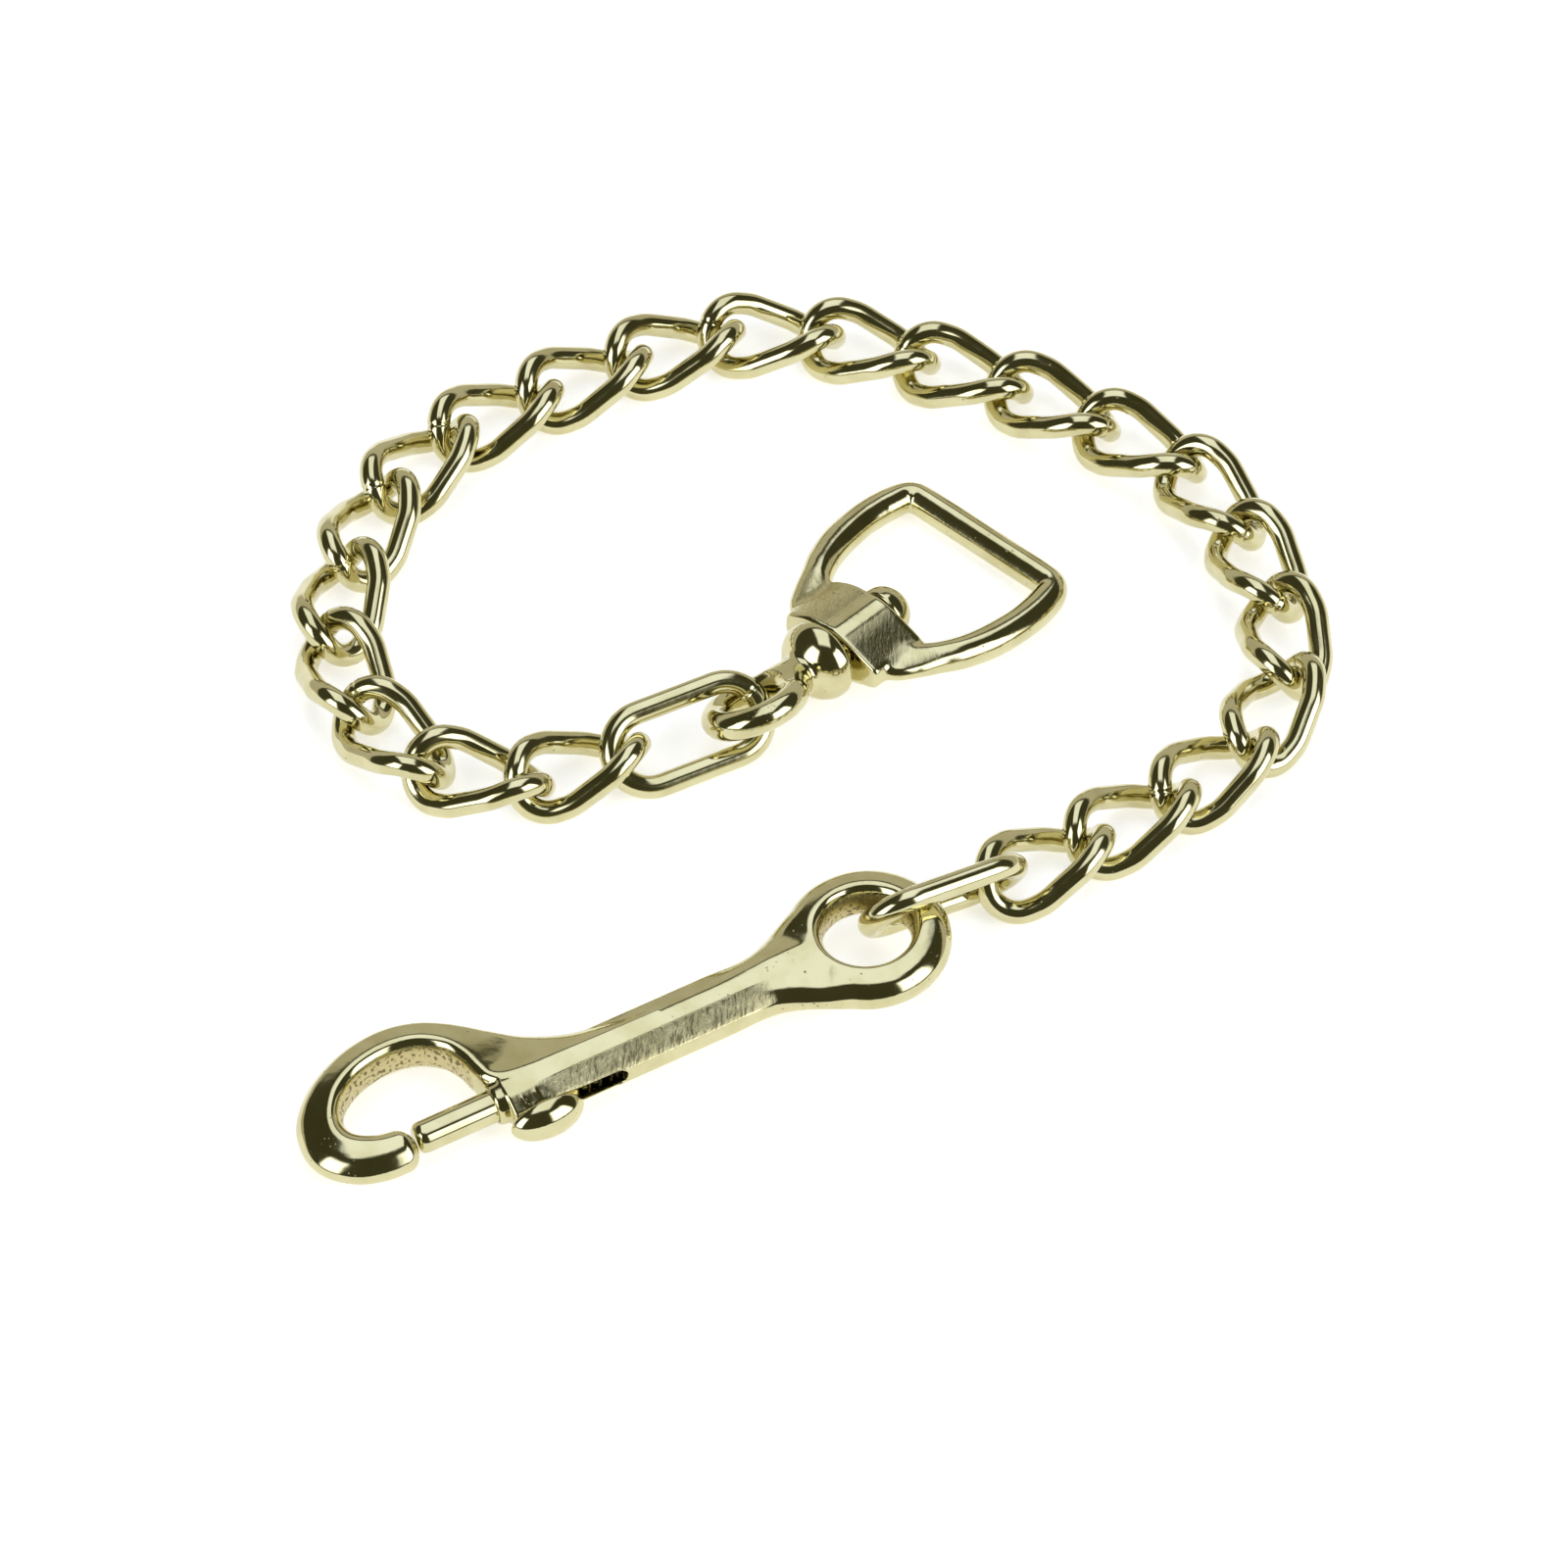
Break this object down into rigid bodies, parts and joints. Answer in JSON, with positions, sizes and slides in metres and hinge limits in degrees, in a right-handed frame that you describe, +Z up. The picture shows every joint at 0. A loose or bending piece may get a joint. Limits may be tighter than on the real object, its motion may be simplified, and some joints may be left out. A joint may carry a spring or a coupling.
{
  "type": "horse lead chain with bolt snap",
  "caption": "Twisted curb lead chain with a spring bolt snap at one end and a swivelling strap loop at the other, lying curled on a flat surface.",
  "frame": {"origin": "centre of the bottom of the bounding box of the whole chain as it lies, on the surface it lies on", "axes": "+Z up from the surface it lies on; +X towards the right side of the lay, with the bolt snap's hook at -X and -Y; +Y towards the far side of the lay, where the middle of the chain is"},
  "size_m": [0.171, 0.1908, 0.0164],
  "materials": {
    "cast_brass_plate": "bright brass plate over a die cast body, with small pits",
    "turned_brass_plate": "bright brass plate over turned steel",
    "link_brass_plate": "bright brass plate over drawn steel wire, with one butt seam in each link",
    "spring_steel": "plain drawn spring wire"
  },
  "bodies": {
    "snap": {"snap_body": "cast_brass_plate", "bolt_spring": "spring_steel"},
    "bolt": {"snap_bolt": "turned_brass_plate", "thumb_knob": "turned_brass_plate"},
    "oval_link_snap_end": {"oval_link_snap_end": "link_brass_plate"},
    "twist_link_22": {"twist_link_22": "link_brass_plate"},
    "twist_link_21": {"twist_link_21": "link_brass_plate"},
    "twist_link_20": {"twist_link_20": "link_brass_plate"},
    "twist_link_19": {"twist_link_19": "link_brass_plate"},
    "twist_link_18": {"twist_link_18": "link_brass_plate"},
    "twist_link_17": {"twist_link_17": "link_brass_plate"},
    "twist_link_16": {"twist_link_16": "link_brass_plate"},
    "twist_link_15": {"twist_link_15": "link_brass_plate"},
    "twist_link_14": {"twist_link_14": "link_brass_plate"},
    "twist_link_13": {"twist_link_13": "link_brass_plate"},
    "twist_link_12": {"twist_link_12": "link_brass_plate"},
    "twist_link_11": {"twist_link_11": "link_brass_plate"},
    "twist_link_10": {"twist_link_10": "link_brass_plate"},
    "twist_link_09": {"twist_link_09": "link_brass_plate"},
    "twist_link_08": {"twist_link_08": "link_brass_plate"},
    "twist_link_07": {"twist_link_07": "link_brass_plate"},
    "twist_link_06": {"twist_link_06": "link_brass_plate"},
    "twist_link_05": {"twist_link_05": "link_brass_plate"},
    "twist_link_04": {"twist_link_04": "link_brass_plate"},
    "twist_link_03": {"twist_link_03": "link_brass_plate"},
    "twist_link_02": {"twist_link_02": "link_brass_plate"},
    "twist_link_01": {"twist_link_01": "link_brass_plate"},
    "oval_link_swivel_end": {"oval_link_swivel_end": "link_brass_plate"},
    "swivel_eye": {"swivel_eye": "cast_brass_plate"},
    "strap_loop": {"strap_loop": "cast_brass_plate"}
  },
  "joints": [
    {"name": "bolt_slide", "type": "slide", "parent": "snap", "child": "bolt", "axis": [0.8804, 0.472, 0.0462], "range_m": [0, 0.0132], "stiffness_N_per_m": 300, "springref_m": -0.004, "deforming": ["bolt_spring"]},
    {"name": "eye_link_lift", "type": "hinge", "parent": "snap", "child": "oval_link_snap_end", "pos_m": [0.01765, -0.04492, 0.0083], "axis": [0.4726, -0.8813, 0], "range_deg": [0, 85]},
    {"name": "link_22_turn", "type": "hinge", "parent": "oval_link_snap_end", "child": "twist_link_22", "pos_m": [0.03063, -0.03289, 0.0032], "axis": [0.75, -0.433, 0.5], "range_deg": [-36, 55]},
    {"name": "link_21_swing", "type": "hinge", "parent": "twist_link_22", "child": "twist_link_21", "pos_m": [0.04432, -0.02662, 0.0052], "axis": [0, 0, 1], "range_deg": [-36, 24]},
    {"name": "link_20_lift", "type": "hinge", "parent": "twist_link_21", "child": "twist_link_20", "pos_m": [0.05841, -0.01711, 0.0052], "axis": [0.6088, -0.7934, 0], "range_deg": [-22, 22]},
    {"name": "link_19_swing", "type": "hinge", "parent": "twist_link_20", "child": "twist_link_19", "pos_m": [0.07124, -0.00596, 0.0052], "axis": [0, 0, -1], "range_deg": [-12, 60]},
    {"name": "link_18_swing", "type": "hinge", "parent": "twist_link_19", "child": "twist_link_18", "pos_m": [0.07843, 0.00945, 0.0052], "axis": [0, 0, 1], "range_deg": [-65, 5]},
    {"name": "link_17_lift", "type": "hinge", "parent": "twist_link_18", "child": "twist_link_17", "pos_m": [0.07665, 0.02636, 0.0052], "axis": [-0.9763, -0.2164, 0], "range_deg": [-20, 20]},
    {"name": "link_16_swing", "type": "hinge", "parent": "twist_link_17", "child": "twist_link_16", "pos_m": [0.07111, 0.04243, 0.0052], "axis": [0, 0, -1], "range_deg": [-18, 48]},
    {"name": "link_15_swing", "type": "hinge", "parent": "twist_link_16", "child": "twist_link_15", "pos_m": [0.06236, 0.057, 0.0052], "axis": [0, 0, 1], "range_deg": [-60, 10]},
    {"name": "link_14_lift", "type": "hinge", "parent": "twist_link_15", "child": "twist_link_14", "pos_m": [0.04827, 0.06651, 0.0052], "axis": [0.5373, 0.8434, 0], "range_deg": [-22, 22]},
    {"name": "link_13_swing", "type": "hinge", "parent": "twist_link_14", "child": "twist_link_13", "pos_m": [0.03369, 0.07526, 0.0052], "axis": [0, 0, -1], "range_deg": [-20, 44]},
    {"name": "link_12_lift", "type": "hinge", "parent": "twist_link_13", "child": "twist_link_12", "pos_m": [0.01804, 0.08191, 0.0052], "axis": [-0.3584, -0.9336, 0], "range_deg": [-22, 22]},
    {"name": "link_11_swing", "type": "hinge", "parent": "twist_link_12", "child": "twist_link_11", "pos_m": [0.00197, 0.08744, 0.0052], "axis": [0, 0, 1], "range_deg": [-54, 18]},
    {"name": "link_10_swing", "type": "hinge", "parent": "twist_link_11", "child": "twist_link_10", "pos_m": [-0.01503, 0.08774, 0.0052], "axis": [0, 0, -1], "range_deg": [-12, 58]},
    {"name": "link_09_lift", "type": "hinge", "parent": "twist_link_10", "child": "twist_link_09", "pos_m": [-0.03079, 0.08137, 0.0052], "axis": [-0.4305, 0.9026, 0], "range_deg": [-22, 22]},
    {"name": "link_08_swing", "type": "hinge", "parent": "twist_link_09", "child": "twist_link_08", "pos_m": [-0.04566, 0.07313, 0.0052], "axis": [0, 0, 1], "range_deg": [-38, 12]},
    {"name": "link_07_swing", "type": "hinge", "parent": "twist_link_08", "child": "twist_link_07", "pos_m": [-0.06007, 0.06412, 0.0052], "axis": [0, 0, -1], "range_deg": [-10, 55]},
    {"name": "link_06_swing", "type": "hinge", "parent": "twist_link_07", "child": "twist_link_06", "pos_m": [-0.07054, 0.05072, 0.0052], "axis": [0, 0, 1], "range_deg": [-54, 10]},
    {"name": "link_05_lift", "type": "hinge", "parent": "twist_link_06", "child": "twist_link_05", "pos_m": [-0.07608, 0.03465, 0.0052], "axis": [0.9703, -0.2419, 0], "range_deg": [-22, 22]},
    {"name": "link_04_swing", "type": "hinge", "parent": "twist_link_05", "child": "twist_link_04", "pos_m": [-0.07873, 0.01786, 0.0052], "axis": [0, 0, -1], "range_deg": [-9, 22]},
    {"name": "link_03_swing", "type": "hinge", "parent": "twist_link_04", "child": "twist_link_03", "pos_m": [-0.07348, 0.00169, 0.0052], "axis": [0, 0, 1], "range_deg": [-20, 12]},
    {"name": "link_02_swing", "type": "hinge", "parent": "twist_link_03", "child": "twist_link_02", "pos_m": [-0.06211, -0.01094, 0.0052], "axis": [0, 0, -1], "range_deg": [0, 18]},
    {"name": "link_01_swing", "type": "hinge", "parent": "twist_link_02", "child": "twist_link_01", "pos_m": [-0.04542, -0.01419, 0.0052], "axis": [0, 0, 1], "range_deg": [-22, 0]},
    {"name": "oval_link_lift", "type": "hinge", "parent": "twist_link_01", "child": "oval_link_swivel_end", "pos_m": [-0.03111, -0.00939, 0.0032], "axis": [0.7094, -0.4967, -0.5], "range_deg": [-36, 80]},
    {"name": "ring_turn", "type": "hinge", "parent": "oval_link_swivel_end", "child": "swivel_eye", "pos_m": [-0.01488, -0.0097, 0.0105], "axis": [0.1545, -0.4755, 0.866], "range_deg": [-12, 80]},
    {"name": "loop_swivel", "type": "hinge", "parent": "swivel_eye", "child": "strap_loop", "pos_m": [-0.00914, -0.00034, 0.0085], "axis": [0.6659, 0.7396, -0.0976], "continuous": true}
  ]
}
